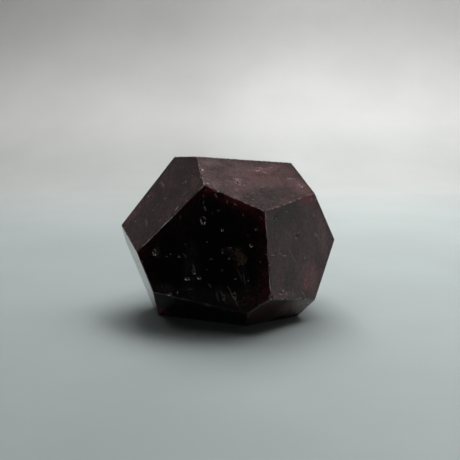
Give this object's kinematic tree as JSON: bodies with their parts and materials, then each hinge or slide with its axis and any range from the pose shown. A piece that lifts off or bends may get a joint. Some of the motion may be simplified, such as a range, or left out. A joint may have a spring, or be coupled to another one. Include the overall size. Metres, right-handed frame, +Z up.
{
  "type": "polished garnet crystal",
  "caption": "Dark red garnet crystal cut and polished to flat pentagon and hexagon facets, standing on its widest facet.",
  "frame": {"origin": "on the bed facet that the crystal stands on, straight below the crystal's centre", "axes": "+Z up, -Z is the bed facet's outward normal; the large front facet looks along -Y, turned 12 degrees to -X"},
  "size_m": [0.0598, 0.0507, 0.0443],
  "materials": {
    "garnet": "hand polished, nearly opaque black red that glows deep red at thin edges, with small pits and worn edges"
  },
  "bodies": {
    "root": {"garnet_crystal": "garnet"}
  },
  "joints": []
}
